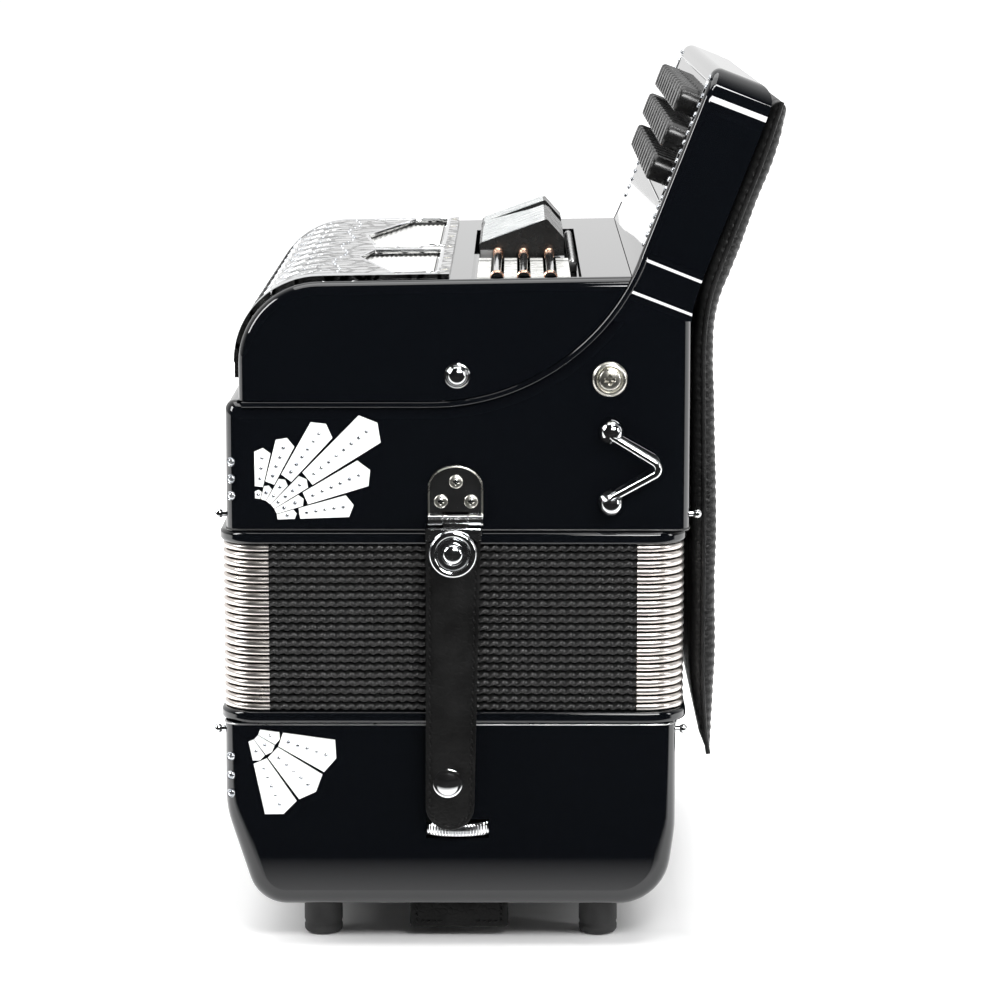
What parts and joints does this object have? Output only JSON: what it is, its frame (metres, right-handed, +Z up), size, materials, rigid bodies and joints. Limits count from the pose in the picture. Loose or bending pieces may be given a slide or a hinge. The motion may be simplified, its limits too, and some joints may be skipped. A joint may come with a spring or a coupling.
{
  "type": "button accordion",
  "caption": "Diatonic button accordion with lean-back fingerboard, pleated bellows, chrome grille, register tabs, bellows straps and padded back.",
  "frame": {"origin": "on the floor under the middle of the standing instrument", "axes": "+Z up from the feet to the fingerboard tip, +X towards the player's side, Y along the button rows"},
  "size_m": [0.234, 0.3164, 0.3601],
  "materials": {
    "black_lacquer": "high gloss black lacquer on wood",
    "black_metal": "satin black",
    "rubber": "matt black rubber",
    "black_leather": "black grained leather with stitching",
    "pad_vinyl": "soft quilted black leathercloth",
    "chrome": "bright chrome plate",
    "nickel": "nickel plate, slightly warm",
    "bellows_cloth": "dark grey woven bellows cloth",
    "grille_cloth": "white ribbed cloth",
    "white_inlay": "white inlay with crystals",
    "spruce": "plain spruce",
    "aluminium": "plain",
    "steel": "plain steel",
    "black_button": "polished black",
    "white_bar": "polished white"
  },
  "bodies": {
    "bass_end": {"bass_case": "black_lacquer", "bass_cover": "black_metal", "feet": "rubber", "bass_hand_strap": "black_leather", "strap_clamps": "chrome", "wheel_bracket": "steel", "bass_soundboard": "spruce", "bass_reed_block": "spruce", "bass_reed_plates": "aluminium", "bass_lever_axle": "steel", "bass_bellows_frame": "black_lacquer", "bass_ornament": "white_inlay", "bass_studs": "chrome", "bellows": "bellows_cloth", "bellows_corners": "nickel"},
    "treble_end": {"treble_case": "black_lacquer", "grille_cover": "black_lacquer", "grille": "chrome", "grille_cloth": "grille_cloth", "treble_screws": "chrome", "treble_soundboard": "spruce", "treble_reed_blocks": "spruce", "treble_reed_plates": "aluminium", "treble_lever_axle": "steel", "fingerboard": "black_lacquer", "fingerboard_plate": "black_lacquer", "register_axle": "steel", "register_comb": "white_bar", "register_rods": "chrome", "bail_posts": "chrome", "strap_hinge_plates": "chrome", "treble_bellows_frame": "black_lacquer", "treble_ornament": "white_inlay", "treble_pins": "chrome", "back_pad": "pad_vinyl"},
    "adjust_wheel": {"adjust_wheel": "chrome"},
    "air_button": {"air_button": "black_button"},
    "button_row_1": {"treble_buttons_1": "black_button"},
    "lever_set_1": {"treble_levers_1": "aluminium"},
    "button_row_2": {"treble_buttons_2": "black_button"},
    "lever_set_2": {"treble_levers_2": "aluminium"},
    "button_row_3": {"treble_buttons_3": "black_button"},
    "lever_set_3": {"treble_levers_3": "aluminium"},
    "bass_row_a": {"bass_buttons_a": "black_button"},
    "bass_lever_set_a": {"bass_levers_a": "aluminium"},
    "bass_row_b": {"bass_buttons_b": "black_button"},
    "bass_lever_set_b": {"bass_levers_b": "aluminium"},
    "register_1": {"register_1": "black_button"},
    "register_2": {"register_2": "black_button"},
    "register_3": {"register_3": "black_button"},
    "register_4": {"register_4": "black_button"},
    "register_5": {"register_5": "black_button"},
    "bail_near": {"strap_bail_near": "chrome"},
    "strap_near": {"bellows_strap_near": "black_leather", "strap_fittings_near": "chrome"},
    "bail_far": {"strap_bail_far": "chrome"},
    "strap_far": {"bellows_strap_far": "black_leather", "strap_fittings_far": "chrome"}
  },
  "joints": [
    {"name": "bellows_open", "type": "slide", "parent": "bass_end", "child": "treble_end", "axis": [0, 0, 1], "range_m": [0, 0.26], "deforming": ["bellows", "bellows_corners"]},
    {"name": "button_row_1_press", "type": "slide", "parent": "treble_end", "child": "button_row_1", "axis": [0.9311, 0, -0.3649], "range_m": [0, 0.004], "stiffness_N_per_m": 300, "springref_m": -0.002},
    {"name": "lever_set_1_lift", "type": "hinge", "parent": "treble_end", "child": "lever_set_1", "pos_m": [0.06168, 0, 0.256], "axis": [0, 1, 0], "range_deg": [0, 5]},
    {"name": "button_row_2_press", "type": "slide", "parent": "treble_end", "child": "button_row_2", "axis": [0.9311, 0, -0.3649], "range_m": [0, 0.004], "stiffness_N_per_m": 300, "springref_m": -0.002},
    {"name": "lever_set_2_lift", "type": "hinge", "parent": "treble_end", "child": "lever_set_2", "pos_m": [0.06168, 0, 0.256], "axis": [0, 1, 0], "range_deg": [0, 5]},
    {"name": "button_row_3_press", "type": "slide", "parent": "treble_end", "child": "button_row_3", "axis": [0.9311, 0, -0.3649], "range_m": [0, 0.004], "stiffness_N_per_m": 300, "springref_m": -0.002},
    {"name": "lever_set_3_lift", "type": "hinge", "parent": "treble_end", "child": "lever_set_3", "pos_m": [0.06168, 0, 0.256], "axis": [0, 1, 0], "range_deg": [0, 5]},
    {"name": "bass_row_a_press", "type": "slide", "parent": "bass_end", "child": "bass_row_a", "axis": [0, 0, 1], "range_m": [0, 0.004], "stiffness_N_per_m": 300, "springref_m": -0.002},
    {"name": "bass_lever_set_a_drop", "type": "hinge", "parent": "bass_end", "child": "bass_lever_set_a", "pos_m": [-0.01332, 0, 0.052], "axis": [0, 1, 0], "range_deg": [-8, 0]},
    {"name": "bass_row_b_press", "type": "slide", "parent": "bass_end", "child": "bass_row_b", "axis": [0, 0, 1], "range_m": [0, 0.004], "stiffness_N_per_m": 300, "springref_m": -0.002},
    {"name": "bass_lever_set_b_drop", "type": "hinge", "parent": "bass_end", "child": "bass_lever_set_b", "pos_m": [-0.01332, 0, 0.052], "axis": [0, 1, 0], "range_deg": [-8, 0]},
    {"name": "air_button_press", "type": "slide", "parent": "bass_end", "child": "air_button", "axis": [0, 0, 1], "range_m": [0, 0.004], "stiffness_N_per_m": 300, "springref_m": -0.002},
    {"name": "adjust_wheel_turn", "type": "hinge", "parent": "bass_end", "child": "adjust_wheel", "pos_m": [-0.01662, -0.132, 0.05], "axis": [0, 0, 1], "continuous": true},
    {"name": "register_1_press", "type": "hinge", "parent": "treble_end", "child": "register_1", "pos_m": [-0.00492, 0, 0.278], "axis": [0, 1, 0], "range_deg": [0, 5], "stiffness_Nm_per_rad": 0.05, "springref_deg": -5.16},
    {"name": "register_2_press", "type": "hinge", "parent": "treble_end", "child": "register_2", "pos_m": [-0.00492, 0, 0.278], "axis": [0, 1, 0], "range_deg": [0, 5], "stiffness_Nm_per_rad": 0.05, "springref_deg": -5.16},
    {"name": "register_3_press", "type": "hinge", "parent": "treble_end", "child": "register_3", "pos_m": [-0.00492, 0, 0.278], "axis": [0, 1, 0], "range_deg": [0, 5], "stiffness_Nm_per_rad": 0.05, "springref_deg": -5.16},
    {"name": "register_4_press", "type": "hinge", "parent": "treble_end", "child": "register_4", "pos_m": [-0.00492, 0, 0.278], "axis": [0, 1, 0], "range_deg": [-5, 0], "stiffness_Nm_per_rad": 0.05, "springref_deg": 5.16},
    {"name": "register_5_press", "type": "hinge", "parent": "treble_end", "child": "register_5", "pos_m": [-0.00492, 0, 0.278], "axis": [0, 1, 0], "range_deg": [0, 5], "stiffness_Nm_per_rad": 0.05, "springref_deg": -5.16},
    {"name": "bail_near_swing", "type": "hinge", "parent": "treble_end", "child": "bail_near", "pos_m": [0.04568, -0.1518, 0.201], "axis": [0, 0, -1], "range_deg": [0, 150]},
    {"name": "strap_near_swing", "type": "hinge", "parent": "treble_end", "child": "strap_near", "pos_m": [-0.01772, -0.1506, 0.1793], "axis": [-1, 0, 0], "range_deg": [0, 115]},
    {"name": "bail_far_swing", "type": "hinge", "parent": "treble_end", "child": "bail_far", "pos_m": [0.04568, 0.1518, 0.201], "axis": [0, 0, 1], "range_deg": [0, 150]},
    {"name": "strap_far_swing", "type": "hinge", "parent": "treble_end", "child": "strap_far", "pos_m": [-0.01772, 0.1506, 0.1793], "axis": [1, 0, 0], "range_deg": [0, 115]}
  ],
  "couplings": [
    {"joint": "lever_set_1_lift", "follows": "button_row_1_press", "rad_per_m": 16.832},
    {"joint": "lever_set_2_lift", "follows": "button_row_2_press", "rad_per_m": 13.439},
    {"joint": "lever_set_3_lift", "follows": "button_row_3_press", "rad_per_m": 11.184},
    {"joint": "bass_lever_set_a_drop", "follows": "bass_row_a_press", "rad_per_m": -27.027},
    {"joint": "bass_lever_set_b_drop", "follows": "bass_row_b_press", "rad_per_m": -18.868}
  ]
}
